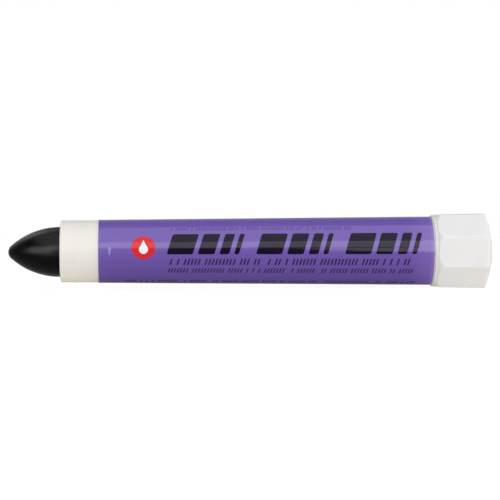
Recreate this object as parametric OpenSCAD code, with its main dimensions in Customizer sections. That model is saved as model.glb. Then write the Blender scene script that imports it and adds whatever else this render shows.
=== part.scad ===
// Twist-up solid paint marker: a stick of solid paint in a tapered barrel, fed out by the knob behind it.
// It lies along X with the paint tip towards -X, and the lower flat of the knob rests on z = 0.

/* [Paint stick] */
// Diameter of the stick
stick_d = 12.4; // [11:0.1:14]
// Length of the bullet nose, from the tip to the full diameter
nose_len = 12.8; // [9:0.2:16]
// Radius of the blunt tip
tip_r = 2.1; // [0.8:0.05:2.6]
// How far the stick stands out of the barrel
stick_out = 13; // [10:0.5:18]
// How deep the tip sits behind the rim when the stick is wound right in
tuck = 0.5; // [0.2:0.1:2]
// Radial gap between the stick and the lip and ribs that guide it
stick_clear = 0.15; // [0.1:0.01:0.3]

/* [Barrel] */
// Length of the barrel from its front rim to the back of its flange
barrel_len = 93.1; // [86:0.1:110]
// Wall around the bore at the neck
neck_wall = 0.95; // [0.9:0.05:1.6]
// Wall around the bore just in front of the flange
rear_wall = 1.7; // [1.6:0.05:2.6]
// Length of the bare neck that takes a cap
neck_len = 9.3; // [6:0.1:14]
// Rounding of the front rim
rim_r = 0.45; // [0.2:0.05:0.7]
// Length of the narrow lip that guides the stick at the rim
lip_len = 3; // [2:0.1:5]
// Height of the flange above the rear of the barrel
flange_h = 0.48; // [0.3:0.02:0.9]
// Width of the flange along the barrel
flange_len = 0.7; // [0.5:0.05:2.4]
// Bevel on the edges of the flange and on the mouths of the bore
bevel = 0.2; // [0.1:0.05:0.3]
// Number of guide ribs in the bore
rib_count = 4; // [2:1:6]
// Height of a guide rib
rib_h = 0.4; // [0.3:0.05:0.6]
// Width of a guide rib
rib_w = 1.2; // [0.8:0.1:2]

/* [Label] */
// Thickness of the label film
label_t = 0.1; // [0.06:0.01:0.2]
// Thickness of the glue line under the label
label_glue = 0.02; // [0.01:0.01:0.04]
// Gap between the label and the flange
label_gap = 0.1; // [0.05:0.05:0.6]
// Angle left open between the two ends of the label, at the back
label_seam = 3; // [1:0.5:10]

/* [Carrier] */
// Depth of the cup that holds the tail of the stick
cup_depth = 7; // [5:0.5:10]
// Wall of the cup
cup_wall = 0.9; // [0.8:0.05:1.4]
// Radial gap between the cup and the bore, and between the slots and the ribs
cup_clear = 0.15; // [0.1:0.01:0.25]
// Gap between the tail of the stick and the cup
tail_clear = 0.03; // [0.01:0.01:0.06]
// Thickness of the floor of the cup
floor_t = 1.8; // [1.2:0.1:3]
// Length of the nut, with the floor of the cup
nut_len = 5; // [4:0.5:8]
// Wall of the nut around the thread
nut_wall = 1.5; // [1:0.1:2]
// Gap left in front of the carrier when it is wound right out
stop_gap = 0.2; // [0.1:0.05:0.6]
// Gap left behind the carrier when it is wound right in
back_gap = 0.5; // [0.3:0.1:2]

/* [Lead screw] */
// Diameter over the thread
screw_d = 5; // [4.6:0.1:5.6]
// Diameter of the core
core_d = 3.6; // [3.2:0.1:3.8]
// Advance of the carrier for one turn of the knob, left-handed
screw_lead = 5; // [4:0.5:7]
// Width of the thread at its crest
crest_w = 1; // [0.8:0.1:1.3]
// Width of the thread at the core
root_w = 2; // [1.6:0.1:2.4]
// Gap between the thread of the screw and the thread of the nut
thread_clear = 0.15; // [0.1:0.01:0.2]
// Radial gap between the screw and the hollow of the stick
hollow_clear = 0.3; // [0.2:0.05:0.6]
// Length of thread still in the nut when the carrier is wound right out
thread_hold = 3.5; // [2.5:0.5:4]
// Thickness of the collar that bears on the knob
collar_t = 1.2; // [0.8:0.1:2]
// Width across the flats of the six-sided tail that drives the screw
tail_af = 3.5; // [3:0.1:3.8]
// Length of the tail
tail_len = 8; // [5:0.5:10]
// Gap between the tail and its socket in the knob
socket_clear = 0.02; // [0.01:0.01:0.05]

/* [Twist knob] */
// Length of the eight-sided grip
grip_len = 12.3; // [8:0.1:16]
// Width across the flats at the front of the grip
grip_front_af = 18; // [17.6:0.02:20]
// Width across the flats at the back of the grip
grip_back_af = 18.5; // [18:0.02:21]
// Height of the low pyramid behind the grip
end_h = 1.4; // [1:0.1:3]
// Width across the flats of the end face
end_af = 10.6; // [6:0.1:12]
// Length of the cone that takes the front corners off the grip
corner_len = 1.1; // [0.3:0.1:2]
// Running gap between the grip and the flange of the barrel
knob_gap = 0.15; // [0.1:0.05:0.4]
// Length of the plug that turns in the bore
plug_len = 8.5; // [8:0.5:12]
// Wall of the plug
plug_wall = 1.7; // [1.6:0.05:2]
// Radial gap between the plug and the bore
plug_clear = 0.1; // [0.06:0.01:0.15]
// Height of the bead that snaps the plug into the barrel
bead_h = 0.45; // [0.3:0.05:0.6]
// Gap around the bead in its groove
bead_clear = 0.12; // [0.08:0.01:0.2]
// Distance of the bead from the back of the barrel
bead_back = 2.1; // [2:0.1:3.5]
// Wall of the post around the socket
post_wall = 1.3; // [1:0.1:1.6]
// Thickness left between the hollow of the knob and the back of the grip
end_wall = 2; // [1.2:0.1:3]

/* [Seal] */
// Thickness of the ring
seal_d = 1; // [0.8:0.05:1.1]
// Running gap between the ring and the bore
seal_clear = 0.03; // [0.02:0.01:0.06]
// Distance of the ring from the front of the plug
seal_front = 2.2; // [1.6:0.1:3]
// Spare width of the groove for the ring
groove_spare = 0.3; // [0.1:0.05:0.5]

/* [Hidden] */
$fn = 96;
// How far cuts and joined solids run past a face
eps = 0.2;
// Straight steps in one turn of the thread
thread_steps = 24;
// Flats around the knob
knob_sides = 8;
// Width across the corners of a hexagon of unit width across its flats
hex_corners = 2 / sqrt(3);

stick_r = stick_d / 2;
guide_r = stick_r + stick_clear;
bore_r = guide_r + rib_h;
neck_r = bore_r + neck_wall;
rear_r = bore_r + rear_wall;
flange_r = rear_r + flange_h;
flange_front = barrel_len - flange_len;

// Places along the axis are measured from the front rim, backwards.
plug_front = barrel_len - plug_len;
plug_r = bore_r - plug_clear;
bead_at = barrel_len - bead_back;
seal_at = plug_front + seal_front;
seal_ring_r = bore_r - seal_clear - seal_d / 2;
groove_r = seal_ring_r - seal_d / 2 - seal_clear;
groove_w = seal_d + groove_spare;
cavity_r = plug_r - plug_wall;
grip_front = barrel_len + knob_gap;
grip_back = grip_front + grip_len;
knob_back = grip_back + end_h;
cavity_back = grip_back - end_wall;

carrier_len = cup_depth + nut_len;
retract = stick_out + tuck;
carrier_front = plug_front - back_gap - retract - carrier_len;
carrier_back = carrier_front + carrier_len;
nut_front = carrier_front + cup_depth;
cup_r = bore_r - cup_clear;
tail_r = cup_r - cup_wall - tail_clear;
screw_r = screw_d / 2;
core_r = core_d / 2;
nut_r = screw_r + thread_clear + nut_wall;
hollow_r = screw_r + hollow_clear;
screw_front = lip_len + rib_h + stop_gap + carrier_len - thread_hold;
hollow_front = screw_front - retract - stop_gap;
collar_back = plug_front + collar_t;
collar_r = cavity_r - hollow_clear;
socket_af = tail_af + 2 * socket_clear;
post_r = socket_af * hex_corners / 2 + post_wall;

total_len = stick_out + knob_back;
axis_z = max(grip_back_af / 2, flange_r);
rim_x = stick_out - total_len / 2;

// Bullet nose: a large arc that runs tangent from the blunt tip to the side of the stick.
ogive_r = (pow(nose_len - tip_r, 2) + pow(stick_r, 2) - pow(tip_r, 2)) / (2 * (stick_r - tip_r));
ogive_start = tip_r - tip_r * (nose_len - tip_r) / (ogive_r - tip_r);

// Sets a piece that is drawn along Z from the front rim onto the axis of the marker.
module on_axis() {
    translate([rim_x, 0, axis_z])
        rotate([0, 90, 0])
            children();
}

// One axial section of the thread: core, crest, crest, core.
function thread_section(grow) = [
    [core_r + grow, -root_w / 2 - grow],
    [screw_r + grow, -crest_w / 2 - grow],
    [screw_r + grow, crest_w / 2 + grow],
    [core_r + grow, root_w / 2 + grow]
];

// Left-handed screw with its core, cut flat at both ends.
module thread(front, back, grow) {
    first = plug_front - screw_lead * (ceil((plug_front - front) / screw_lead) + 1);
    steps = thread_steps * (ceil((back - first) / screw_lead) + 1);
    section = thread_section(grow);
    ribbon = [
        for (i = [0:steps])
            for (p = section)
                [
                    p[0] * cos(-360 * i / thread_steps),
                    p[0] * sin(-360 * i / thread_steps),
                    first + screw_lead * i / thread_steps + p[1]
                ]
    ];
    low = len(ribbon);
    high = low + 1;
    ends = [
        [0, 0, first + section[0][1]],
        [0, 0, first + screw_lead * steps / thread_steps + section[3][1]]
    ];
    turn = 4 * thread_steps;
    last = 4 * steps;
    ridge = [
        for (i = [0:steps - 1])
            for (k = [0:2])
                for (t = [[0, 4, 5], [0, 5, 1]])
                    [for (v = t) 4 * i + k + v]
    ];
    core = [
        for (i = [0:steps - thread_steps - 1])
            for (t = [[3, 7, turn + 4], [3, turn + 4, turn]])
                [for (v = t) 4 * i + v]
    ];
    low_ramp = [for (i = [0:thread_steps - 1]) [low, 4 * i + 4, 4 * i]];
    low_face = [for (p = [[0, 1], [1, 2], [2, 3], [3, turn]]) [low, p[0], p[1]]];
    high_ramp = [for (i = [steps - thread_steps:steps - 1]) [high, 4 * i + 3, 4 * i + 7]];
    high_face = [for (p = [[3, 2], [2, 1], [1, 0], [0, 3 - turn]]) [high, last + p[0], last + p[1]]];
    intersection() {
        polyhedron(
            points = concat(ribbon, ends),
            faces = concat(ridge, core, low_ramp, low_face, high_ramp, high_face),
            convexity = 10
        );
        translate([-2 * screw_r, -2 * screw_r, front])
            cube([4 * screw_r, 4 * screw_r, back - front]);
    }
}

module barrel() {
    color([0.93, 0.91, 0.86])
        on_axis()
            union() {
                rotate_extrude()
                    difference() {
                        union() {
                            polygon([
                                [guide_r + bevel, 0],
                                [neck_r - rim_r, 0],
                                [neck_r, rim_r],
                                [neck_r, neck_len],
                                [rear_r, flange_front],
                                [flange_r - bevel, flange_front],
                                [flange_r, flange_front + bevel],
                                [flange_r, barrel_len - bevel],
                                [flange_r - bevel, barrel_len],
                                [bore_r + bevel, barrel_len],
                                [bore_r, barrel_len - bevel],
                                [bore_r, lip_len + rib_h],
                                [guide_r, lip_len],
                                [guide_r, bevel]
                            ]);
                            translate([neck_r - rim_r, rim_r])
                                circle(r = rim_r);
                        }
                        translate([plug_r, bead_at])
                            circle(r = bead_h + bead_clear);
                    }
                for (i = [0:rib_count - 1])
                    rotate([0, 0, 360 * i / rib_count])
                        translate([guide_r, -rib_w / 2, lip_len - eps])
                            cube([rib_h + eps, rib_w, plug_front - lip_len - back_gap]);
            }
}

module label() {
    slope = (rear_r - neck_r) / (flange_front - neck_len);
    inner = neck_r + label_glue;
    back = flange_front - label_gap;
    rise = slope * (back - neck_len);
    color([0.41, 0.33, 0.63])
        on_axis()
            rotate([0, 0, 90 + label_seam / 2])
                rotate_extrude(angle = 360 - label_seam)
                    polygon([
                        [inner, neck_len],
                        [inner + label_t, neck_len],
                        [inner + label_t + rise, back],
                        [inner + rise, back]
                    ]);
}

module paint_stick() {
    color([0.06, 0.06, 0.07])
        on_axis()
            rotate_extrude()
                difference() {
                    union() {
                        translate([0, -stick_out])
                            intersection() {
                                union() {
                                    translate([0, tip_r])
                                        circle(r = tip_r);
                                    intersection() {
                                        translate([stick_r - ogive_r, nose_len])
                                            circle(r = ogive_r, $fn = 4 * $fn);
                                        translate([0, ogive_start])
                                            square([stick_r, nose_len - ogive_start + eps]);
                                    }
                                }
                                square([stick_r, nose_len + eps]);
                            }
                        translate([0, nose_len - stick_out])
                            square([stick_r, carrier_front + stick_out - nose_len]);
                        translate([0, carrier_front - eps])
                            square([tail_r, cup_depth - tail_clear + eps]);
                    }
                    translate([0, hollow_front])
                        square([hollow_r, nut_front - hollow_front]);
                }
}

module stick_carrier() {
    color([0.86, 0.86, 0.84])
        on_axis()
            translate([0, 0, carrier_front])
                difference() {
                    rotate_extrude()
                        polygon([
                            [0, cup_depth],
                            [tail_r + tail_clear, cup_depth],
                            [tail_r + tail_clear, 0],
                            [cup_r - bevel, 0],
                            [cup_r, bevel],
                            [cup_r, cup_depth + floor_t - bevel],
                            [cup_r - bevel, cup_depth + floor_t],
                            [nut_r, cup_depth + floor_t],
                            [nut_r, carrier_len],
                            [0, carrier_len]
                        ]);
                    for (i = [0:rib_count - 1])
                        rotate([0, 0, 360 * i / rib_count])
                            translate([guide_r - cup_clear, -rib_w / 2 - cup_clear, -eps])
                                cube([rib_h + 2 * cup_clear, rib_w + 2 * cup_clear, carrier_len]);
                    translate([0, 0, -carrier_front])
                        thread(nut_front - eps, carrier_back + eps, thread_clear);
                }
}

module lead_screw() {
    color([0.8, 0.8, 0.78])
        on_axis()
            union() {
                thread(screw_front, plug_front + collar_t / 2, 0);
                translate([0, 0, plug_front])
                    cylinder(r = collar_r, h = collar_t);
                translate([0, 0, collar_back - eps])
                    cylinder(d = tail_af * hex_corners, h = tail_len + eps, $fn = 6);
            }
}

module twist_knob() {
    half_side = 180 / knob_sides;
    front_corner_r = grip_front_af / 2 / cos(half_side);
    back_corner_r = grip_back_af / 2 / cos(half_side) + eps;
    color([0.92, 0.92, 0.92])
        on_axis()
            difference() {
                union() {
                    intersection() {
                        crossed_slabs();
                        rotate_extrude()
                            polygon([
                                [0, grip_front],
                                [grip_front_af / 2, grip_front],
                                [front_corner_r, grip_front + corner_len],
                                [back_corner_r, grip_front + 2 * corner_len],
                                [back_corner_r, knob_back],
                                [0, knob_back]
                            ]);
                    }
                    rotate_extrude()
                        difference() {
                            union() {
                                polygon([
                                    [0, plug_front],
                                    [plug_r - bevel, plug_front],
                                    [plug_r, plug_front + bevel],
                                    [plug_r, grip_front + eps],
                                    [0, grip_front + eps]
                                ]);
                                translate([plug_r, bead_at])
                                    circle(r = bead_h);
                            }
                            translate([groove_r, seal_at - groove_w / 2])
                                square([seal_d * 2, groove_w]);
                        }
                }
                difference() {
                    translate([0, 0, plug_front - eps])
                        cylinder(r = cavity_r, h = cavity_back - plug_front + eps);
                    translate([0, 0, collar_back])
                        cylinder(r = post_r, h = cavity_back - collar_back + eps);
                }
                translate([0, 0, collar_back - eps])
                    cylinder(d = socket_af * hex_corners, h = tail_len + 2 * eps, $fn = 6);
            }
}

// The eight flats of the knob with its low pyramid, as four crossed slabs.
module crossed_slabs() {
    intersection_for(i = [0:knob_sides / 2 - 1])
        rotate([0, 0, 360 * i / knob_sides])
            rotate([90, 0, 0])
                linear_extrude(height = 2 * grip_back_af, center = true)
                    polygon([
                        [-grip_front_af / 2, grip_front],
                        [-grip_back_af / 2, grip_back],
                        [-end_af / 2, knob_back],
                        [end_af / 2, knob_back],
                        [grip_back_af / 2, grip_back],
                        [grip_front_af / 2, grip_front]
                    ]);
}

module knob_seal() {
    color([0.12, 0.12, 0.12])
        on_axis()
            translate([0, 0, seal_at])
                rotate_extrude()
                    translate([seal_ring_r, 0])
                        circle(d = seal_d);
}

barrel();
label();
paint_stick();
stick_carrier();
lead_screw();
twist_knob();
knob_seal();
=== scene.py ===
import math

import bpy
import numpy as np
from mathutils import Matrix, Vector


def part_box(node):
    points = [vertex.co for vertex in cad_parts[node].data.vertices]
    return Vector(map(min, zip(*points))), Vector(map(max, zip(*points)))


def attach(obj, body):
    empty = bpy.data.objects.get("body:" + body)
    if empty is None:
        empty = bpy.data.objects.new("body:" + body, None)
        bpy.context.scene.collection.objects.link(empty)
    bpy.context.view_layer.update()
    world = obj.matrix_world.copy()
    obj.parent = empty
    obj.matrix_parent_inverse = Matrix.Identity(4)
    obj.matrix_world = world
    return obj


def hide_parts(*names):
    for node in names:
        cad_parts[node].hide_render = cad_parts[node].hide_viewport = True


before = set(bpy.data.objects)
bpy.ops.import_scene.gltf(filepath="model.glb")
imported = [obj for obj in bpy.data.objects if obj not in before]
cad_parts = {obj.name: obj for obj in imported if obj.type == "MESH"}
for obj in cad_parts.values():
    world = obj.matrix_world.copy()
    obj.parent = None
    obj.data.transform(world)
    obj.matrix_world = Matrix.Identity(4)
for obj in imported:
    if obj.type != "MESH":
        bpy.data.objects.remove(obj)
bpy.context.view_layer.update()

mm = 0.001
fullTurn = 2 * math.pi
barrelLow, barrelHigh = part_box("barrel")
labelLow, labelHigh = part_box("label")
stickLow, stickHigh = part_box("paint_stick")
knobLow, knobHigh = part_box("twist_knob")
rimX = barrelLow.x  # the front rim: places along the marker count back from it, in mm
axisZ = (barrelLow.z + barrelHigh.z) / 2


def fromRim(x):
    return (x - rimX) / mm


barrelLength = fromRim(barrelHigh.x)
flangeRadius = (barrelHigh.z - barrelLow.z) / 2 / mm
labelFront, labelBack = fromRim(labelLow.x), fromRim(labelHigh.x)
labelBackRadius = (labelHigh.z - labelLow.z) / 2 / mm
tipAt, tailEnd = fromRim(stickLow.x), fromRim(stickHigh.x)
stickRadius = (stickHigh.z - stickLow.z) / 2 / mm
plugFront, knobEnd = fromRim(knobLow.x), fromRim(knobHigh.x)
knobHalfWidth = (knobHigh.z - knobLow.z) / 2 / mm
print(f"frame: {len(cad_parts)} nodes, barrel {barrelLength:.1f} mm, knob end at {knobEnd:.2f} mm")


# Shapes: every piece is a profile of (along, radius) in mm, carried round the marker's axis.

def roundCorners(corners, steps=6):
    # each corner (along, radius, rounding) becomes an arc tangent to the two straight sides that meet there;
    # the two ends, and a corner with no rounding, stay points
    points = np.array([corner[:2] for corner in corners], float)
    pieces = []
    for i, corner in enumerate(corners):
        rounding = corner[2]
        if i in (0, len(corners) - 1) or rounding == 0:
            pieces.append(points[i:i + 1])
            continue
        before = points[i - 1] - points[i]
        after = points[i + 1] - points[i]
        before = before / np.linalg.norm(before)
        after = after / np.linalg.norm(after)
        halfAngle = math.acos(np.clip(before @ after, -1, 1)) / 2
        middle = (before + after) / np.linalg.norm(before + after)
        centre = points[i] + middle * rounding / math.sin(halfAngle)
        start = points[i] + before * rounding / math.tan(halfAngle) - centre
        end = points[i] + after * rounding / math.tan(halfAngle) - centre
        turn = math.atan2(start[0] * end[1] - start[1] * end[0], start @ end)
        sweep = math.atan2(start[1], start[0]) + turn * np.linspace(0, 1, steps + 1)
        pieces.append(centre + rounding * np.stack([np.cos(sweep), np.sin(sweep)], axis=-1))
    return np.concatenate(pieces)


def arcAround(along, radius, arcRadius, fromDegrees, toDegrees, steps=16):
    # part of a circle in the profile: angle 0 points back along the marker and 90 points outwards
    sweep = np.radians(np.linspace(fromDegrees, toDegrees, steps + 1))
    return np.stack([along + arcRadius * np.cos(sweep), radius + arcRadius * np.sin(sweep)], axis=-1)


def aroundAxis(along, radius, angle):
    # back from the rim by along, then out from the axis by radius, at an angle above the near side
    x = rimX + along * mm + 0 * angle
    y = -radius * mm * np.cos(angle)
    z = axisZ + radius * mm * np.sin(angle)
    return np.stack(np.broadcast_arrays(x, y, z), axis=-1)


def onAxis(*places):
    # points on the axis itself, which close the ends of a piece
    return aroundAxis(np.array(places), np.zeros(len(places)), np.zeros(len(places)))


def sineWaves(along, angle, waves):
    # sines over the surface, each given as radians per mm along, waves in a turn, and its start
    return [np.sin(perMm * along + perTurn * angle + start) for perMm, perTurn, start in waves]


def gridMesh(name, points, wrapRows=False, wrapColumns=True, poles=None):
    # neighbouring grid points make quads, and two poles close the ends with fans;
    # where the enclosed volume comes out negative, the faces are turned to point outwards
    rows, columns = points.shape[:2]
    index = np.arange(rows * columns).reshape(rows, columns)
    vertices = points.reshape(-1, 3)
    if wrapColumns:
        index = np.concatenate([index, index[:, :1]], axis=1)
    if wrapRows:
        index = np.concatenate([index, index[:1]], axis=0)
    quads = np.stack([index[:-1, :-1], index[:-1, 1:], index[1:, 1:], index[1:, :-1]], axis=-1)
    quads = quads.reshape(-1, 4)
    fans = np.zeros((0, 3), int)
    if poles is not None:
        first, last = len(vertices), len(vertices) + 1
        vertices = np.concatenate([vertices, poles])
        firstFan = np.stack([0 * index[0, 1:] + first, index[0, 1:], index[0, :-1]], axis=-1)
        lastFan = np.stack([0 * index[0, 1:] + last, index[-1, :-1], index[-1, 1:]], axis=-1)
        fans = np.concatenate([firstFan, lastFan])
    centred = vertices - vertices.mean(axis=0)
    a, b, c = (centred[quads[:, k]] for k in (0, 1, 2))
    if np.einsum("ij,ij->", a, np.cross(b, c)) < 0:
        quads, fans = quads[:, ::-1], fans[:, ::-1]
    mesh = bpy.data.meshes.new(name)
    mesh.from_pydata(vertices.tolist(), [], quads.tolist() + fans.tolist())
    mesh.shade_smooth()
    return mesh


def addPiece(name, mesh, body, node, material):
    piece = bpy.data.objects.new(name, mesh)
    bpy.context.scene.collection.objects.link(piece)
    mesh.materials.append(material)
    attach(piece, body)
    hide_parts(node)
    print(f"piece {name}: {len(mesh.vertices)} points, {len(mesh.polygons)} faces")
    return piece


# Shader maths: a Wire is a socket in a Python expression, and a Finish is the node tree that it belongs to.

class Wire:
    def __init__(self, finish, socket):
        self.finish = finish
        self.socket = socket

    def maths(self, operation, *values):
        return self.finish.node("ShaderNodeMath", {"operation": operation}, dict(enumerate(values)))

    def __add__(self, other):
        return self.maths("ADD", self, other)

    def __sub__(self, other):
        return self.maths("SUBTRACT", self, other)

    def __rsub__(self, other):
        return self.maths("SUBTRACT", other, self)

    def __mul__(self, other):
        return self.maths("MULTIPLY", self, other)

    def __truediv__(self, other):
        return self.maths("DIVIDE", self, other)

    def __abs__(self):
        return self.maths("ABSOLUTE", self)

    __radd__ = __add__
    __rmul__ = __mul__

    def floor(self):
        return self.maths("FLOOR", self)

    def root(self):
        return self.maths("SQRT", self)

    def least(self, other):
        return self.maths("MINIMUM", self, other)

    def most(self, other):
        return self.maths("MAXIMUM", self, other)

    def ramp(self, fromLow, fromHigh, toLow=0.0, toHigh=1.0):
        # eases from toLow at fromLow to toHigh at fromHigh, and is level beyond them
        values = {0: self, 1: fromLow, 2: fromHigh, 3: toLow, 4: toHigh}
        return self.finish.node("ShaderNodeMapRange", {"interpolation_type": "SMOOTHSTEP"}, values)


class Finish:
    def __init__(self, owner):
        owner.use_nodes = True
        self.owner = owner
        self.tree = owner.node_tree
        self.tree.nodes.clear()

    def node(self, kind, settings=None, sockets=None, out=0):
        made = self.tree.nodes.new(kind)
        for name, value in (settings or {}).items():
            setattr(made, name, value)
        for name, value in (sockets or {}).items():
            if isinstance(value, Wire):
                self.tree.links.new(value.socket, made.inputs[name])
            else:
                made.inputs[name].default_value = value
        return Wire(self, made.outputs[out]) if made.outputs else None

    def places(self):
        # Object coordinates in mm
        place = self.node("ShaderNodeTexCoord", out="Object")
        return self.node("ShaderNodeVectorMath", {"operation": "SCALE"}, {0: place, 3: 1 / mm})

    def split(self, vector):
        # the three parts of a vector
        first = self.node("ShaderNodeSeparateXYZ", None, {0: vector})
        return [Wire(self, part) for part in first.socket.node.outputs]

    def stretched(self, vector, factors):
        return self.node("ShaderNodeVectorMath", {"operation": "MULTIPLY"}, {0: vector, 1: factors})

    def noise(self, vector, size, detail, roughness=0.5):
        # cloud of 0 to 1 whose blotches are about size mm wide
        values = {"Vector": vector, "Scale": 1 / size, "Detail": detail, "Roughness": roughness}
        return self.node("ShaderNodeTexNoise", {"noise_dimensions": "3D"}, values)

    def chance(self, number, seed):
        # a fixed random value of 0 to 1 for each whole number
        return self.node("ShaderNodeTexWhiteNoise", {"noise_dimensions": "1D"}, {"W": number + seed})

    def blend(self, factor, first, second):
        # sockets 6 and 7 and output 2 of a Mix node are its colours
        values = {0: factor, 6: first, 7: second}
        return self.node("ShaderNodeMix", {"data_type": "RGBA"}, values, out=2)

    def bump(self, height, depth):
        # height of 0 to 1 raised by depth mm
        return self.node("ShaderNodeBump", None, {"Strength": 1.0, "Distance": depth * mm, "Height": height})

    def shader(self, sockets):
        return self.node("ShaderNodeBsdfPrincipled", None, sockets)

    def output(self, shader):
        self.node("ShaderNodeOutputMaterial", None, {"Surface": shader})
        return self.owner

    def surface(self, sockets):
        return self.output(self.shader(sockets))


def newFinish(name):
    return Finish(bpy.data.materials.new(name))


def colour(red, green, blue):
    return (red, green, blue, 1.0)


# Lengths in the dictionaries are in mm. A noise is its size, detail and roughness, a ramp is where it starts
# and ends, and a roughness is the plain value with what each noise adds to it.

# Barrel: a tapered tube with a rounded front rim, guide ribs in its bore, a snap groove and a low flange.

barrel = {
    "guideRadius": 6.35, "boreRadius": 6.75, "neckRadius": 7.7, "rearRadius": 8.45,
    "neckLength": 9.3, "lipLength": 3.0, "rimRounding": 0.45, "edgeRounding": 0.2,
    "flangeLength": 0.7, "flangeRounding": 0.03, "flangeFillet": 0.1,
    "mouthLength": 1.0, "grooveBack": 2.1, "grooveDepthAt": 6.65, "grooveRadius": 0.57,
    "ribCount": 4, "ribWidth": 1.2, "ribFlank": 0.02, "ribBack": 83.9, "ribEndSlope": 0.05, "columns": 192,
    "cream": colour(0.825, 0.777, 0.735), "warmCream": colour(0.8, 0.742, 0.675),
    "cloud": (7.0, 3.0), "cloudRamp": (0.35, 0.75),
    "grain": (0.12, 2.0), "grainShare": 0.7, "grainDepth": 0.006,
    "drawn": (0.8, 2.0), "drawnStretch": (0.06, 1.0, 1.0), "drawnRamp": (0.55, 0.9), "drawnStrength": 0.35,
    "roughness": (0.36, 0.12, 0.08), "ior": 1.46,
    "subsurface": 0.5, "subsurfaceRadius": (1.0, 0.55, 0.25), "subsurfaceScale": 2.6,
}


def barrelPlastic():
    # cream that warms in slow clouds and in lines drawn along the tube, under a fine moulded grain
    finish = newFinish("barrelPlastic")
    place = finish.places()
    cloud = finish.noise(place, *barrel["cloud"])
    drawn = finish.noise(finish.stretched(place, barrel["drawnStretch"]), *barrel["drawn"])
    grain = finish.noise(place, *barrel["grain"])
    base = finish.blend(cloud.ramp(*barrel["cloudRamp"]), barrel["cream"], barrel["warmCream"])
    base = finish.blend(drawn.ramp(*barrel["drawnRamp"]) * barrel["drawnStrength"], base, barrel["warmCream"])
    plain, clouded, grained = barrel["roughness"]
    share = barrel["grainShare"]
    return finish.surface({
        "Base Color": base,
        "Roughness": plain + clouded * cloud + grained * grain,
        "IOR": barrel["ior"],
        "Subsurface Weight": barrel["subsurface"],
        "Subsurface Radius": barrel["subsurfaceRadius"],
        "Subsurface Scale": barrel["subsurfaceScale"] * mm,
        "Normal": finish.bump(share * grain + (1 - share) * drawn, barrel["grainDepth"]),
    })


def makeBarrel():
    # the profile goes out of the guide lip, over the rim, back to the flange, and along the bore to the lip
    flangeFront = barrelLength - barrel["flangeLength"]
    edge = barrel["edgeRounding"]
    bore, guide = barrel["boreRadius"], barrel["guideRadius"]
    grooveAt = barrelLength - barrel["grooveBack"]
    mouth = math.degrees(math.asin((bore - barrel["grooveDepthAt"]) / barrel["grooveRadius"]))
    outside = roundCorners([
        (barrel["lipLength"], guide, 0),
        (0, guide, edge),
        (0, barrel["neckRadius"], barrel["rimRounding"]),
        (barrel["neckLength"], barrel["neckRadius"], 0),
        (flangeFront, barrel["rearRadius"], barrel["flangeFillet"]),
        (flangeFront, flangeRadius, edge),
        (barrelLength, flangeRadius, barrel["flangeRounding"]),
        (barrelLength, bore, edge),
        (barrelLength - barrel["mouthLength"], bore, 0),
    ])
    groove = arcAround(grooveAt, barrel["grooveDepthAt"], barrel["grooveRadius"], mouth, 180 - mouth)
    lipSlope = bore - guide
    ribStretch = np.array([(barrel["ribBack"], bore), (barrel["lipLength"] + lipSlope, bore)])
    ribEnd = ribStretch[:1] + (barrel["ribEndSlope"], 0)
    profile = np.concatenate([outside, groove, ribEnd, ribStretch])
    # along the ribs' stretch the bore steps in to the guide's radius, between steep flanks
    ribHalf = math.asin(barrel["ribWidth"] / 2 / guide)
    ribStep = fullTurn / barrel["ribCount"]
    flank = barrel["ribFlank"]
    ribEdges = np.array([-1 - flank, flank - 1, 1 - flank, 1 + flank]) * ribHalf
    ribAngles = (np.arange(barrel["ribCount"])[:, None] * ribStep + ribEdges).ravel() % fullTurn
    evenAngles = np.linspace(0, fullTurn, barrel["columns"] + 1)[:-1]
    angle = np.unique(np.concatenate([evenAngles, ribAngles]))
    fromRib = (angle + ribStep / 2) % ribStep - ribStep / 2
    onRib = np.abs(fromRib) < ribHalf
    along, radius = profile[:, :1], profile[:, 1:]
    inStretch = (np.arange(len(profile)) >= len(profile) - len(ribStretch))[:, None]
    radius = np.where(inStretch & onRib[None, :], guide, radius)
    mesh = gridMesh("barrel_tube", aroundAxis(along, radius, angle[None, :]), wrapRows=True)
    addPiece("barrel_tube", mesh, "barrel", "barrel", barrelPlastic())


makeBarrel()


# Label: a printed film wrapped round the barrel, with an open seam at the far side.

label = {
    "thickness": 0.1, "frontRadius": 7.82, "seamDegrees": 3.0, "edge": 0.015, "rows": 100, "columns": 192,
    "waviness": 0.006, "waves": ((0.33, 2, 0.0), (0.21, -3, 1.3)),
    # painted highlight: the blister's pale share whitens the film over it as its glint
    "blisterAt": 2.95, "blisterRound": 0.2, "blisterHalfLength": 0.42, "blisterHalfHeight": 1.65,
    "blisterHeight": 0.12, "blisterRows": 12, "blisterColumns": 18,
    "blisterPaintedHighlight": 0.13, "blisterRamp": (0.9, 0.1),
    # painted light: the back's pale share and the pale purple brighten the film towards the knob end
    "backPaintedLight": 0.09, "backPaintedLightLength": 1.5, "margin": 0.18, "marginPale": 0.75, "soft": 0.05,
    "purple": colour(0.125, 0.059, 0.39), "deepPurple": colour(0.113, 0.051, 0.366),
    "paintedLightPurple": colour(0.155, 0.077, 0.425), "paintedLightFrom": 7.0, "paintedLightTo": 1.5,
    "ink": colour(0.0045, 0.0025, 0.008), "inkCover": 0.94,
    "red": colour(0.66, 0.022, 0.032), "white": colour(0.86, 0.83, 0.84),
    "cloud": (9.0, 3.0), "dust": (0.25, 3.0, 0.7), "dustRamp": (0.55, 0.8),
    "peel": (1.4, 1.0), "peelShare": 0.9, "peelDepth": 0.004,
    "roughness": (0.13, 0.05, 0.06), "ior": 1.5, "hazeRoughness": 0.75, "hazeIor": 1.6,
    "inkSmoother": 0.06, "inkIor": 1.32,
}
labelLength = labelBack - labelFront
labelMeanRadius = (label["frontRadius"] + labelBackRadius) / 2
labelSpan = fullTurn - math.radians(label["seamDegrees"])
labelArc = labelSpan * labelMeanRadius

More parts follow.
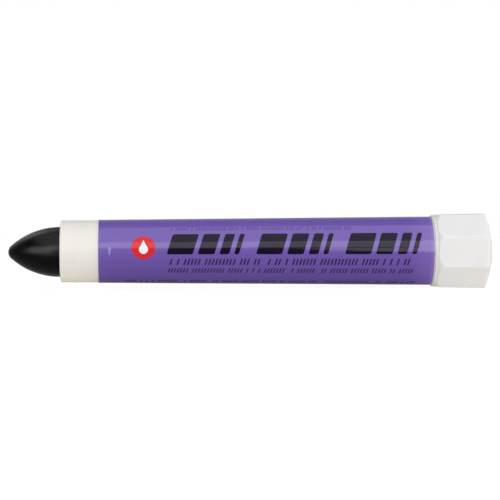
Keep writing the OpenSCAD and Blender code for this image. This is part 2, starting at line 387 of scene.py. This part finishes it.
# Places of the print count along from the film's front edge, and round from the near side upwards.
# Bars: three groups of slanted bars that grow thinner.
bars = {
    "start": 17.0, "groups": 3, "groupStep": 21.9, "widths": (6.4, 4.1, 2.4, 1.2), "gap": 1.2,
    "middle": 2.1, "height": 5.3, "slant": 0.3, "rounding": 0.45,
}
# Rows of small slanted strokes: four on the near side and four on the far side.
strokes = {"rounding": 0.1, "openShare": 0.165, "openStep": 0.0001}
# half the thickness of a stroke is a share of its pitch
rowKeys = ("middle", "height", "pitch", "halfThick", "start", "end", "strength", "seed")
strokeRows = [dict(zip(rowKeys, values)) for values in (
    (6.3, 1.0, 0.62, 0.22, 17.8, 62.5, 0.55, 11.0),
    (-2.5, 1.6, 0.86, 0.25, 17.5, 77.0, 0.8, 37.0),
    (-4.95, 1.4, 0.74, 0.24, 16.3, 78.0, 0.75, 71.0),
    (-9.4, 1.4, 0.72, 0.25, 6.6, 79.0, 0.85, 93.0),
    (17.2, 1.3, 0.8, 0.25, 8.0, 60.0, 0.8, 113.0),
    (19.2, 1.3, 0.8, 0.25, 8.0, 66.0, 0.8, 131.0),
    (21.2, 1.3, 0.8, 0.25, 8.0, 52.0, 0.8, 151.0),
    (23.2, 1.3, 0.8, 0.25, 8.0, 63.0, 0.8, 173.0),
)]
# Spot: a round spot with a drop of paint in it.
spot = {
    "at": 11.2, "round": 1.2, "radius": 2.95,
    "dropRadius": 1.1, "dropDown": 0.5, "dropTip": 1.95, "dropTaper": 0.46,
}
# Ticks: a plain scale on the far side.
ticks = {
    "middle": -16.5, "start": 8.0, "end": 74.0, "pitch": 2.0, "width": 0.35, "height": 2.4,
    "rounding": 0.1, "strength": 0.8,
}


def roundedBar(acrossDistance, upDistance, rounding):
    # 1 inside a box with rounded corners, from the distances past its sides
    soft = label["soft"]
    past = (acrossDistance + rounding).most(0.0)
    above = (upDistance + rounding).most(0.0)
    corner = (past * past + above * above).root() - rounding
    inside = (acrossDistance + rounding).most(upDistance + rounding).least(0.0)
    return (corner + inside).ramp(soft, -soft)


def barsMask(along, up):
    # the distance past the nearest bar of any group, with the bars leaning by the slant
    slanted = along - up * bars["slant"]
    nearest = None
    for group in range(bars["groups"]):
        start = bars["start"] + group * bars["groupStep"]
        for width in bars["widths"]:
            distance = abs(slanted - (start + width / 2)) - width / 2
            nearest = distance if nearest is None else nearest.least(distance)
            start += width + bars["gap"]
    return roundedBar(nearest, abs(up - bars["middle"]) - bars["height"] / 2, bars["rounding"])


def rowMask(finish, along, up, row):
    # one slanted stroke in each cell of the row, with some cells left open as gaps
    above = up - row["middle"]
    cells = (along - above * bars["slant"] - row["start"]) / row["pitch"]
    cell = cells.floor()
    across = (abs(cells - cell - 0.5) - row["halfThick"]) * row["pitch"]
    upDistance = abs(above) - row["height"] / 2
    count = math.floor((row["end"] - row["start"]) / row["pitch"])
    inRow = cell.ramp(-0.9, -0.1) * cell.ramp(count - 0.1, count - 0.9)  # cells are whole, so these are sharp
    opened, step = strokes["openShare"], strokes["openStep"]
    inside = inRow * finish.chance(cell, row["seed"]).ramp(opened - step, opened + step)
    return roundedBar(across, upDistance, strokes["rounding"]) * inside * row["strength"]


def ticksMask(along, up):
    # one upright tick in the middle of each cell between the start and the end
    soft = label["soft"]
    cells = (along - ticks["start"]) / ticks["pitch"]
    across = (abs(cells - cells.floor() - 0.5)) * ticks["pitch"] - ticks["width"] / 2
    upDistance = abs(up - ticks["middle"]) - ticks["height"] / 2
    afterStart = along.ramp(ticks["start"] - soft, ticks["start"])
    beforeEnd = along.ramp(ticks["end"] + soft, ticks["end"])
    return roundedBar(across, upDistance, ticks["rounding"]) * (afterStart * beforeEnd)


def spotMasks(along, up):
    # the spot is a circle, and the drop is a circle below joined to a wedge that narrows to its tip
    soft = label["soft"]
    right = along - spot["at"]
    above = up - spot["round"]
    disc = ((right * right + above * above).root() - spot["radius"]).ramp(soft, -soft)
    low = above + spot["dropDown"]
    bowl = (right * right + low * low).root() - spot["dropRadius"]
    taper = (abs(right) - (spot["dropTip"] - above) * spot["dropTaper"]).most(0.0 - low)
    return disc, bowl.least(taper).ramp(soft, -soft)


def labelFilm():
    # printed purple film: the bare film has a hazy coat, and the ink lies smoother and without it
    finish = newFinish("labelFilm")
    flat = finish.node("ShaderNodeUVMap", {"uv_map": "labelFlat"})
    flatAlong, flatUp = finish.split(flat)[:2]
    along = flatAlong * labelLength
    up = (flatUp - 0.5) * labelArc
    place = finish.places()
    cloud = finish.noise(place, *label["cloud"])
    peel = finish.noise(place, *label["peel"])
    dust = finish.noise(place, *label["dust"])
    film = finish.blend(cloud, label["purple"], label["deepPurple"])
    # painted light: the film turns a paler purple towards its back end, as the light the white knob throws on
    # it
    paintedKnobLight = along.ramp(labelLength - label["paintedLightFrom"], labelLength - label["paintedLightTo"])
    film = finish.blend(paintedKnobLight, film, label["paintedLightPurple"])
    ink = barsMask(along, up)
    for row in strokeRows:
        ink = ink.most(rowMask(finish, along, up, row))
    ink = ink.most(ticksMask(along, up) * ticks["strength"])
    disc, drop = spotMasks(along, up)
    cover = label["inkCover"] + (1 - label["inkCover"]) * dust
    printed = finish.blend(ink * cover, film, label["ink"])
    printed = finish.blend(disc, printed, label["red"])
    printed = finish.blend(drop, printed, label["white"])
    # painted highlight and painted light: the film is whitened over the blister as its glint, and at its back
    # end, where it lifts towards the flange, as the light it catches there
    acrossBlister = (along - label["blisterAt"]) / label["blisterHalfLength"]
    upBlister = (up - label["blisterRound"]) / label["blisterHalfHeight"]
    offBlister = acrossBlister * acrossBlister + upBlister * upBlister
    paintedGlint = offBlister.ramp(*label["blisterRamp"]) * label["blisterPaintedHighlight"]
    paintedBackLight = along.ramp(labelLength - label["backPaintedLightLength"], labelLength) * label["backPaintedLight"]
    printed = finish.blend(paintedGlint.most(paintedBackLight), printed, label["white"])
    fromEnd = along.least(labelLength - along)
    atEnd = fromEnd.ramp(label["margin"], label["margin"] - label["soft"]) * label["marginPale"]
    printed = finish.blend(atEnd, printed, label["white"])
    normal = finish.bump(label["peelShare"] * peel + (1 - label["peelShare"]) * dust, label["peelDepth"])
    plain, clouded, dusty = label["roughness"]
    gloss = plain + clouded * cloud + dusty * dust.ramp(*label["dustRamp"])
    bare = finish.shader({
        "Base Color": printed,
        "Roughness": gloss,
        "IOR": label["ior"],
        "Normal": normal,
        "Coat Weight": 1.0,
        "Coat Roughness": label["hazeRoughness"],
        "Coat IOR": label["hazeIor"],
    })
    inked = finish.shader({
        "Base Color": printed,
        "Roughness": gloss - label["inkSmoother"],
        "IOR": label["inkIor"],
        "Normal": normal,
    })
    return finish.output(finish.node("ShaderNodeMixShader", None, {0: ink.most(disc), 1: bare, 2: inked}))


def makeLabel():
    # a cone round the barrel, open at the seam, with more rows and columns at its edges and at the blister
    along = np.unique(np.concatenate([
        np.linspace(0, labelLength, label["rows"] + 1),
        [label["edge"], labelLength - label["edge"]],
        label["blisterAt"] + label["blisterHalfLength"] * np.linspace(-1, 1, label["blisterRows"] + 1),
    ]))[:, None]
    frontRadius = label["frontRadius"]
    blisterUp = label["blisterHalfHeight"] * np.linspace(-1, 1, label["blisterColumns"] + 1)
    blisterAngles = (label["blisterRound"] + blisterUp) / frontRadius
    seamEdge = labelSpan / 2 - label["edge"] / frontRadius
    evenAngles = np.linspace(-labelSpan / 2, labelSpan / 2, label["columns"] + 1)
    angle = np.unique(np.concatenate([evenAngles, blisterAngles, [-seamEdge, seamEdge]]))[None, :]
    taper = (labelBackRadius - frontRadius) / labelLength
    radius = frontRadius + taper * along
    # low swells of the film, and one blister: a raised cosine each way
    first, second = sineWaves(along, angle, label["waves"])
    acrossBlister = np.clip((along - label["blisterAt"]) / label["blisterHalfLength"], -1, 1)
    offBlister = angle * frontRadius - label["blisterRound"]
    upBlister = np.clip(offBlister / label["blisterHalfHeight"], -1, 1)
    blister = (1 + np.cos(math.pi * acrossBlister)) * (1 + np.cos(math.pi * upBlister)) / 4
    radius = radius + label["waviness"] * first * second + label["blisterHeight"] * blister
    mesh = gridMesh("label_film", aroundAxis(labelFront + along, radius, angle), wrapColumns=False)
    flat = np.stack(np.broadcast_arrays(along / labelLength, angle / labelSpan + 0.5), axis=-1).reshape(-1, 2)
    corner = np.empty(len(mesh.loops), dtype=np.int32)
    mesh.loops.foreach_get("vertex_index", corner)
    mesh.uv_layers.new(name="labelFlat").data.foreach_set("uv", flat[corner].astype(np.float32).ravel())
    piece = addPiece("label_film", mesh, "barrel", "label", labelFilm())
    wall = piece.modifiers.new("filmThickness", "SOLIDIFY")
    wall.thickness = label["thickness"] * mm
    wall.offset = -1.0


makeLabel()


# Paint stick: a bullet nose of two tangent arcs, a plain rod, and a narrower hollow tail that sits in a cup.

stick = {
    "tipRadius": 2.1, "noseLength": 12.8, "tailStart": 58.6, "tailRadius": 5.67, "hollowRadius": 2.8,
    "hollowFront": -1.6, "hollowRing": 0.6, "tailLead": 0.3, "shoulderRounding": 0.12, "stepRounding": 0.06,
    "tailRounding": 0.3, "mouthRounding": 0.2, "hollowRounding": 0.4,
    "tipRows": 10, "noseRows": 48, "rodPoints": 40, "columns": 144,
    "droop": 0.13, "waviness": 0.02, "waves": ((0.9, 2, 0.0), (0.5, -3, 0.7), (1.7, 1, 0.0)),
    "black": colour(0.001, 0.001, 0.0012), "worn": colour(0.003, 0.003, 0.0033),
    "cloud": (3.0, 4.0, 0.6), "cloudRamp": (0.4, 0.7), "crumbs": (0.16, 2.0, 0.6),
    "wax": (0.5, 3.0), "waxStretch": (1.0, 0.35, 0.35), "waxShare": 0.65, "waxDepth": 0.008,
    "roughness": (0.2, 0.1, 0.05), "ior": 1.32,
}


def solidPaint():
    # waxy black that is worn paler in clouds, with rings of wax and fine crumbs in its skin
    finish = newFinish("solidPaint")
    place = finish.places()
    cloud = finish.noise(place, *stick["cloud"])
    wax = finish.noise(finish.stretched(place, stick["waxStretch"]), *stick["wax"])
    crumbs = finish.noise(place, *stick["crumbs"])
    plain, clouded, crumbly = stick["roughness"]
    share = stick["waxShare"]
    return finish.surface({
        "Base Color": finish.blend(cloud.ramp(*stick["cloudRamp"]), stick["black"], stick["worn"]),
        "Roughness": plain + clouded * cloud + crumbly * crumbs,
        "IOR": stick["ior"],
        "Normal": finish.bump(share * wax + (1 - share) * crumbs, stick["waxDepth"]),
    })


def drooped(points):
    # the front of the stick lies on its guide: it sinks evenly from the tail, by the droop at the rim
    tailX = rimX + stick["tailStart"] * mm
    share = np.maximum(tailX - points[..., 0], 0) / (tailX - rimX)
    return points - stick["droop"] * mm * share[..., None] * np.array([0, 0, 1.0])


def makeStick():
    # the large arc is tangent to the blunt tip inside it and to the rod at the end of the nose
    tip, nose = stick["tipRadius"], stick["noseLength"]
    ogive = ((nose - tip) ** 2 + stickRadius ** 2 - tip ** 2) / (2 * (stickRadius - tip))
    meet = math.degrees(math.atan2(ogive - stickRadius, nose - tip))
    tipArc = arcAround(tipAt + tip, 0, tip, 180, 180 - meet, stick["tipRows"])[1:]
    noseArc = arcAround(tipAt + nose, stickRadius - ogive, ogive, 180 - meet, 90, stick["noseRows"])[1:]
    rodEnd = (stick["tailStart"] - stick["tailLead"], stickRadius)
    rod = np.linspace(noseArc[-1], rodEnd, stick["rodPoints"])[1:]
    tail = roundCorners([
        (*rodEnd, 0),
        (stick["tailStart"], stickRadius, stick["shoulderRounding"]),
        (stick["tailStart"], stick["tailRadius"], stick["stepRounding"]),
        (tailEnd, stick["tailRadius"], stick["tailRounding"]),
        (tailEnd, stick["hollowRadius"], stick["mouthRounding"]),
        (stick["hollowFront"], stick["hollowRadius"], stick["hollowRounding"]),
        (stick["hollowFront"], stick["hollowRing"], 0),
    ])[1:]
    profile = np.concatenate([tipArc, noseArc, rod, tail])
    along, radius = profile[:, :1], profile[:, 1:]
    angle = np.linspace(0, fullTurn, stick["columns"] + 1)[None, :-1]
    # hand-worn skin: low swells that fade towards the tip and stay off the tail
    waves = sineWaves(along, angle, stick["waves"])
    outer = (np.arange(len(profile)) < len(profile) - len(tail))[:, None]
    skin = stick["waviness"] / len(waves) * sum(waves) * np.clip(2 * radius / stickRadius, 0, 1) * outer
    points = drooped(aroundAxis(along, radius + skin, angle))
    mesh = gridMesh("stick_of_paint", points, poles=drooped(onAxis(tipAt, stick["hollowFront"])))
    addPiece("stick_of_paint", mesh, "feed", "paint_stick", solidPaint())


makeStick()


# Twist knob: a plug with a snap bead and a seal groove, a hollow with a drive post, and an eight-sided grip.

knob = {
    "sides": 8, "plugRadius": 6.65, "cavityRadius": 4.95, "postRadius": 3.344, "socketRadius": 2.1,
    "postFront": 85.8, "socketEnd": 94.0, "cavityBack": 103.45, "socketRing": 0.5,
    "edgeRounding": 0.2, "socketRounding": 0.2, "postRounding": 0.15, "cavityRounding": 0.3,
    "sealAt": 86.8, "sealGrooveRadius": 5.69, "sealGrooveWidth": 1.3,
    "grooveLip": 0.08, "grooveRounding": 0.1,
    "beadAt": 91.0, "beadRadius": 0.45, "beadLead": 1.0, "shoulderRadius": 8.0, "shoulderRounding": 0.1,
    "gripFront": 93.13, "gripFrontHalf": 9.0, "gripBack": 105.55, "endHalf": 5.3, "gripSteps": 8,
    "frontRounding": 0.03, "frontRings": (0.3, 0.5, 0.7, 0.9, 1.05, 1.2, 1.35, 1.5, 1.8), "backRing": 0.8,
    "widenFrom": 0.15, "widenTo": 0.5, "ridgeRounding": 0.22, "endRounding": 0.3,
    "cornerRounding": 0.5, "endCornerRounding": 0.35,
    "frontCornerLength": 1.2, "frontEase": 0.1, "frontZone": 2.5,
    "sideDegrees": (0, 3.5, 7, 10.5, 14, 17, 18.6, 19.4, 20.2, 21, 21.8),
    "gateRadius": 0.9, "gateDepth": 0.12, "gateRing": 0.6, "gateSlope": 0.15,
    "gateRounding": 0.1, "gateFloor": 0.3,
    "white": colour(0.75, 0.75, 0.76), "shade": colour(0.72, 0.72, 0.722), "shadeStrength": 0.6,
    "cloud": (6.0, 3.0), "cloudRamp": (0.4, 0.8),
    "grain": (0.16, 2.0), "grainShare": 0.8, "grainDepth": 0.006,
    "scuff": (0.5, 3.0, 0.7), "scuffStretch": (0.25, 1.0, 1.0), "scuffRamp": (0.55, 0.8),
    "roughness": (0.4, 0.1, 0.1), "ior": 1.46,
    "subsurface": 0.5, "subsurfaceRadius": (1.0, 0.9, 0.8), "subsurfaceScale": 1.2,
}


def knobPlastic():
    # white that greys a little in clouds, with a moulded grain and scuffs along the grip
    finish = newFinish("knobPlastic")
    place = finish.places()
    cloud = finish.noise(place, *knob["cloud"])
    grain = finish.noise(place, *knob["grain"])
    scuff = finish.noise(finish.stretched(place, knob["scuffStretch"]), *knob["scuff"])
    plain, clouded, scuffed = knob["roughness"]
    share = knob["grainShare"]
    greyed = cloud.ramp(*knob["cloudRamp"]) * knob["shadeStrength"]
    return finish.surface({
        "Base Color": finish.blend(greyed, knob["white"], knob["shade"]),
        "Roughness": plain + clouded * cloud + scuffed * scuff.ramp(*knob["scuffRamp"]),
        "IOR": knob["ior"],
        "Subsurface Weight": knob["subsurface"],
        "Subsurface Radius": knob["subsurfaceRadius"],
        "Subsurface Scale": knob["subsurfaceScale"] * mm,
        "Normal": finish.bump(share * grain + (1 - share) * scuff, knob["grainDepth"]),
    })


def sidedRadius(angle, half, rounding, sides):
    # distance from the axis to an even polygon with rounded corners: its flats are half from the axis,
    # and a rounding as large as half makes it a circle
    sector = fullTurn / sides
    offSide = np.abs((angle + sector / 2) % sector - sector / 2)
    offCorner = sector / 2 - offSide
    cornerAway = (half - rounding) / math.cos(sector / 2)
    toArc = np.sqrt(np.maximum(rounding ** 2 - (cornerAway * np.sin(offCorner)) ** 2, 0))
    flatEnd = np.arctan2((half - rounding) * math.tan(sector / 2), half)
    return np.where(offSide < flatEnd, half / np.cos(offSide), cornerAway * np.cos(offCorner) + toArc)


def makeKnob():
    # the profile goes out of the screw's socket, round the post, over the plug and back along the grip;
    # it is round but for the grip, where its radius is the half width of an eight-sided section
    edge = knob["edgeRounding"]
    plug, front, back = knob["plugRadius"], knob["gripFront"], knob["gripBack"]
    frontHalf, gateOut = knob["gripFrontHalf"], knob["gateRadius"] + knob["gateRing"]
    grooveFront = knob["sealAt"] - knob["sealGrooveWidth"] / 2
    grooveBack = knob["sealAt"] + knob["sealGrooveWidth"] / 2
    gateFloor = knobEnd - knob["gateDepth"]
    inside = roundCorners([
        (knob["socketEnd"], knob["socketRing"], 0),
        (knob["socketEnd"], knob["socketRadius"], knob["socketRounding"]),
        (knob["postFront"], knob["socketRadius"], knob["postRounding"]),
        (knob["postFront"], knob["postRadius"], knob["postRounding"]),
        (knob["cavityBack"], knob["postRadius"], knob["cavityRounding"]),
        (knob["cavityBack"], knob["cavityRadius"], knob["cavityRounding"]),
        (plugFront, knob["cavityRadius"], edge),
        (plugFront, plug, edge),
        (grooveFront, plug, knob["grooveLip"]),
        (grooveFront, knob["sealGrooveRadius"], knob["grooveRounding"]),
        (grooveBack, knob["sealGrooveRadius"], knob["grooveRounding"]),
        (grooveBack, plug, knob["grooveLip"]),
        (knob["beadAt"] - knob["beadLead"], plug, 0),
    ])
    bead = arcAround(knob["beadAt"], plug, knob["beadRadius"], 180, 0)
    shoulder = roundCorners([
        (knob["beadAt"] + knob["beadLead"], plug, 0),
        (front, plug, knob["shoulderRounding"]),
        (front, knob["shoulderRadius"], 0),
    ])
    grip = roundCorners([
        (front, knob["shoulderRadius"], 0),
        (front, frontHalf, knob["frontRounding"]),
        *((front + step, frontHalf, 0) for step in knob["frontRings"]),
        (back - knob["backRing"], knobHalfWidth, 0),
        (back, knobHalfWidth, knob["ridgeRounding"]),
        (knobEnd, knob["endHalf"], knob["endRounding"]),
        (knobEnd, gateOut, 0),
    ], steps=knob["gripSteps"])[1:]
    gate = roundCorners([
        (knobEnd, gateOut, 0),
        (knobEnd, knob["gateRadius"], knob["gateRounding"]),
        (gateFloor, knob["gateRadius"] - knob["gateSlope"], knob["gateRounding"]),
        (gateFloor, knob["gateFloor"], 0),
    ])[1:]
    profile = np.concatenate([inside, bead, shoulder, grip, gate])
    along, half = profile[:, :1], profile[:, 1:]
    onGrip = np.zeros(len(profile), bool)
    onGrip[len(inside) + len(bead) + len(shoulder):-len(gate)] = True
    onGrip = onGrip[:, None]
    # the grip widens evenly from its front to its back
    straight = onGrip & (along > front + knob["widenFrom"]) & (along < back - knob["widenTo"])
    widen = frontHalf + (along - front) / (back - front) * (knobHalfWidth - frontHalf)
    half = np.where(straight, widen, half)
    towardsEnd = np.clip((along - back) / (knobEnd - back), 0, 1)
    rounding = knob["cornerRounding"] + towardsEnd * (knob["endCornerRounding"] - knob["cornerRounding"])
    rounding = np.where(onGrip, np.minimum(rounding, half), half)
    sector = fullTurn / knob["sides"]
    offsets = np.radians(knob["sideDegrees"])
    offsets = np.concatenate([-offsets[:0:-1], offsets, [sector / 2]])
    angle = (np.arange(knob["sides"])[:, None] * sector + offsets).ravel()[None, :]
    radius = sidedRadius(angle, half, rounding, knob["sides"])
    # a cone takes the corners off the front of the grip: the smaller of the two radii, eased where they cross
    cornerRadius = frontHalf / math.cos(sector / 2)
    cone = frontHalf + (along - front) / knob["frontCornerLength"] * (cornerRadius - frontHalf)
    ease = knob["frontEase"]
    share = np.clip(0.5 + 0.5 * (cone - radius) / ease, 0, 1)
    eased = cone + (radius - cone) * share - ease * share * (1 - share)
    radius = np.where(onGrip & (along < front + knob["frontZone"]), eased, radius)
    mesh = gridMesh("knob_grip", aroundAxis(along, radius, angle), poles=onAxis(knob["socketEnd"], gateFloor))
    addPiece("knob_grip", mesh, "knob", "twist_knob", knobPlastic())


makeKnob()


# Inner pieces keep their solids and get finishes of their own.

inner = {
    "natural": colour(0.72, 0.72, 0.69), "naturalShade": colour(0.62, 0.62, 0.58), "carrierLines": 0.6,
    "acetal": colour(0.6, 0.6, 0.57), "acetalShade": colour(0.5, 0.5, 0.47), "screwLines": 0.3,
    "cloud": (3.0, 3.0), "grain": (0.1, 2.0), "lineDetail": 2.0, "lineStretch": (1.0, 0.1, 0.1),
    "lineShare": 0.6, "lineDepth": 0.006, "roughness": (0.38, 0.14, 0.08), "ior": 1.48,
    "subsurface": 0.25, "subsurfaceRadius": (1.0, 0.85, 0.7), "subsurfaceScale": 1.0,
}
seal = {
    "rubber": colour(0.014, 0.014, 0.015), "bloomGrey": colour(0.045, 0.045, 0.047), "bloomStrength": 0.7,
    "bloom": (1.2, 4.0, 0.6), "bloomRamp": (0.5, 0.8), "grain": (0.08, 2.0), "grainDepth": 0.005,
    "roughness": (0.55, 0.2), "ior": 1.52,
}


def mouldedPlastic(name, light, shade, lineSize):
    # shaded in clouds, with tool lines round the axis and a fine grain
    finish = newFinish(name)
    place = finish.places()
    cloud = finish.noise(place, *inner["cloud"])
    lines = finish.noise(finish.stretched(place, inner["lineStretch"]), lineSize, inner["lineDetail"])
    grain = finish.noise(place, *inner["grain"])
    plain, clouded, grained = inner["roughness"]
    share = inner["lineShare"]
    return finish.surface({
        "Base Color": finish.blend(cloud, light, shade),
        "Roughness": plain + clouded * cloud + grained * grain,
        "IOR": inner["ior"],
        "Subsurface Weight": inner["subsurface"],
        "Subsurface Radius": inner["subsurfaceRadius"],
        "Subsurface Scale": inner["subsurfaceScale"] * mm,
        "Normal": finish.bump(share * lines + (1 - share) * grain, inner["lineDepth"]),
    })


def sealRubber():
    # black rubber with a grey bloom in patches
    finish = newFinish("sealRubber")
    place = finish.places()
    bloom = finish.noise(place, *seal["bloom"])
    grain = finish.noise(place, *seal["grain"])
    plain, bloomed = seal["roughness"]
    greyed = bloom.ramp(*seal["bloomRamp"]) * seal["bloomStrength"]
    return finish.surface({
        "Base Color": finish.blend(greyed, seal["rubber"], seal["bloomGrey"]),
        "Roughness": plain + bloomed * bloom,
        "IOR": seal["ior"],
        "Normal": finish.bump(grain, seal["grainDepth"]),
    })


def dressNode(node, material):
    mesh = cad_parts[node].data
    mesh.materials.clear()
    mesh.materials.append(material)
    print(f"node {node}: finish {material.name}")


cup = mouldedPlastic("carrierPlastic", inner["natural"], inner["naturalShade"], inner["carrierLines"])
screw = mouldedPlastic("screwPlastic", inner["acetal"], inner["acetalShade"], inner["screwLines"])
dressNode("stick_carrier", cup)
dressNode("lead_screw", screw)
dressNode("knob_seal", sealRubber())


# Studio: a white sweep behind, a strip softbox just above the camera, a broad panel overhead
# and a dim room in front. Places and sizes are in metres here.

white = colour(1, 1, 1)
studio = {
    "frontGloss": 0.06, "backGloss": 0.35, "backRamp": (-0.35, 0.05), "backTopRamp": (0.85, 0.45),
    "cornerRamp": (0.05, 0.4), "leftRamp": (-0.1, -0.35), "rightRamp": (0.28, 0.42),
    "sideFill": 0.57, "topFill": 0.2, "fillRamp": (0.05, 0.75),
    "floorHalf": 0.6, "floorPoints": 9, "floorDrop": 0.00002, "floorGlow": 0.935,
    "floorAlbedo": colour(0.57, 0.555, 0.52), "floorSeenAlbedo": colour(0.13, 0.13, 0.13),
    "floorMirrorAlbedo": colour(0.03, 0.03, 0.03),
    "tableGlow": 0.33, "tableTint": colour(1.0, 0.97, 0.9),
    "neckGlow": 0.13, "neckRamp": (-0.035, -0.041), "knobGlow": 0.16, "knobRamp": (0.036, 0.048),
    "sweepRamp": (-0.03, 0.04), "tipRamp": (-0.038, -0.052), "patchGlow": 0.95,
    "patchFront": (-0.015, -0.055), "patchRight": (-0.045, -0.052), "patchLeft": (-0.085, -0.07),
}
lamps = {
    "stripLamp": {"elevation": 24.0, "azimuth": 6.0, "roll": 5.2, "distance": 0.9,
                  "width": 1.0, "height": 0.32, "radiance": 2.75},
    "panelLamp": {"elevation": 64.0, "azimuth": 3.0, "roll": 0.0, "distance": 0.9,
                  "width": 1.3, "height": 1.15, "radiance": 1.08},
    "leftCard": {"elevation": 4.0, "azimuth": -33.0, "roll": 0.0, "distance": 0.12, "aimAlong": -0.05,
                 "width": 0.095, "height": 0.09, "radiance": 3.3, "unseenBy": "diffuse"},
    "rightCard": {"elevation": 7.5, "azimuth": 15.4, "roll": 17.0, "distance": 0.9,
                  "width": 0.3, "height": 0.2, "radiance": 3.0, "unseenBy": "diffuse"},
    "tipCard": {"elevation": 65.0, "azimuth": 180.0, "roll": 0.0, "distance": 0.06, "aimAlong": -0.072,
                "width": 0.05, "height": 0.024, "radiance": 0.7, "unseenBy": "diffuse"},
    "sideLamp": {"elevation": 15.0, "azimuth": 82.0, "roll": 0.0, "distance": 0.9,
                 "width": 0.5, "height": 0.5, "radiance": 2.8, "unseenBy": "glossy"},
}
view = {
    "distance": 0.45, "sideStep": -0.0242, "elevation": 1.8, "lens": 130.01, "sensor": 36.0,
    "aimAlong": 0.00003, "aimUp": 0.000255, "roll": -0.02, "clipStart": 0.05, "clipEnd": 10.0,
}


def seenRays(finish):
    # 1 for rays that show the background: straight to the camera, in a reflection, or through something clear
    outputs = finish.node("ShaderNodeLightPath").socket.node.outputs
    names = ("Is Camera Ray", "Is Glossy Ray", "Is Transmission Ray")
    camera, glossy, through = (Wire(finish, outputs[name]) for name in names)
    return camera, glossy.most(through)


def makeWorld():
    # the camera sees white; reflections see a dim room in front, a grey sweep behind and white at both its
    # sides; all other rays get a fill that weakens upwards
    world = bpy.data.worlds.new("studio")
    bpy.context.scene.world = world
    finish = Finish(world)
    camera, mirrored = seenRays(finish)
    direction = finish.node("ShaderNodeTexCoord", out="Generated")
    right, back, up = finish.split(direction)
    behind = back.ramp(*studio["backRamp"]) * up.ramp(*studio["backTopRamp"]) * studio["backGloss"]
    aside = right.ramp(*studio["leftRamp"]).most(right.ramp(*studio["rightRamp"]))
    sidesBehind = back.ramp(*studio["cornerRamp"]) * aside
    sweep = behind.most(sidesBehind).most(studio["frontGloss"])
    fill = up.ramp(*studio["fillRamp"], studio["sideFill"], studio["topFill"])
    strength = camera + (1 - camera) * (mirrored * sweep + (1 - mirrored) * fill)
    background = finish.node("ShaderNodeBackground", None, {"Color": white, "Strength": strength})
    finish.node("ShaderNodeOutputWorld", None, {"Surface": background})


def makeFloor():
    # a flat sheet that glows white to the camera and still takes the marker's shadow; reflections see it grey
    # behind the marker, white behind the tip and lit in a patch in front of the tip, and all other rays get a
    # warm bounce, stronger under the neck and the knob
    half = studio["floorHalf"]
    across = np.linspace(-half, half, studio["floorPoints"])
    x, y = np.meshgrid(across, across, indexing="ij")
    mesh = gridMesh("floor", np.stack([x, y, 0 * x - studio["floorDrop"]], axis=-1), wrapColumns=False)
    finish = newFinish("floorWhite")
    camera, mirrored = seenRays(finish)
    right, back = finish.split(finish.node("ShaderNodeTexCoord", out="Object"))[:2]
    behindTip = right.ramp(*studio["tipRamp"], studio["backGloss"], 1.0)
    sweep = back.ramp(*studio["sweepRamp"]) * behindTip
    patch = back.ramp(*studio["patchFront"], 0.0, studio["patchGlow"])
    patch = patch * right.ramp(*studio["patchRight"]) * right.ramp(*studio["patchLeft"])
    seen = camera.most(mirrored)
    shown = camera.most(mirrored * sweep.most(patch))
    underNeck = right.ramp(*studio["neckRamp"], 0.0, studio["neckGlow"])
    underKnob = right.ramp(*studio["knobRamp"], 0.0, studio["knobGlow"])
    bounce = studio["tableGlow"] + underNeck + underKnob
    strength = shown * studio["floorGlow"] + (1 - seen) * bounce
    tint = finish.blend(seen, studio["tableTint"], white)
    unseen = finish.blend(mirrored, studio["floorAlbedo"], studio["floorMirrorAlbedo"])
    grey = finish.blend(camera, unseen, studio["floorSeenAlbedo"])
    matt = finish.node("ShaderNodeBsdfDiffuse", None, {"Color": grey})
    glow = finish.node("ShaderNodeEmission", None, {"Color": tint, "Strength": strength})
    both = finish.node("ShaderNodeAddShader", None, {0: matt, 1: glow})
    floor = bpy.data.objects.new("floor", mesh)
    bpy.context.scene.collection.objects.link(floor)
    mesh.materials.append(finish.output(both))


def standing(place, facing, roll):
    # at its place, facing as told, and turned about its own line of sight by the roll
    turn = Matrix.Rotation(math.radians(roll), 4, "Z")
    return Matrix.Translation(place) @ facing.to_matrix().to_4x4() @ turn


def makeLamp(name, lamp):
    # stands off from the axis at its azimuth and elevation, with the power of its radiance over its area
    elevation, azimuth = math.radians(lamp["elevation"]), math.radians(lamp["azimuth"])
    level = math.cos(elevation)
    away = Vector((math.sin(azimuth) * level, -math.cos(azimuth) * level, math.sin(elevation)))
    data = bpy.data.lights.new(name, "AREA")
    data.shape = "RECTANGLE"
    data.size, data.size_y = lamp["width"], lamp["height"]
    data.energy = lamp["radiance"] * math.pi * lamp["width"] * lamp["height"]
    made = bpy.data.objects.new(name, data)
    bpy.context.scene.collection.objects.link(made)
    place = Vector((lamp.get("aimAlong", 0), 0, axisZ)) + away * lamp["distance"]
    made.matrix_world = standing(place, away.to_track_quat("Z", "Y"), lamp["roll"])
    made.visible_camera = False
    made.visible_diffuse = lamp.get("unseenBy") != "diffuse"
    made.visible_glossy = lamp.get("unseenBy") != "glossy"


def makeCamera():
    # stands off to the near side and a little to the tip's side, and aims at the middle of the marker
    elevation = math.radians(view["elevation"])
    near, high = view["distance"] * math.cos(elevation), view["distance"] * math.sin(elevation)
    place = Vector((view["sideStep"], -near, axisZ + high))
    aim = Vector((view["aimAlong"], 0, axisZ + view["aimUp"]))
    data = bpy.data.cameras.new("camera")
    data.lens, data.sensor_width = view["lens"], view["sensor"]
    data.clip_start, data.clip_end = view["clipStart"], view["clipEnd"]
    camera = bpy.data.objects.new("camera", data)
    bpy.context.scene.collection.objects.link(camera)
    camera.matrix_world = standing(place, (aim - place).to_track_quat("-Z", "Y"), view["roll"])
    bpy.context.scene.camera = camera


makeWorld()
makeFloor()
for lampName, lampValues in lamps.items():
    makeLamp(lampName, lampValues)
makeCamera()
bpy.context.scene.view_settings.view_transform = "Standard"
print("studio: floor, lamps, world and camera are in place")
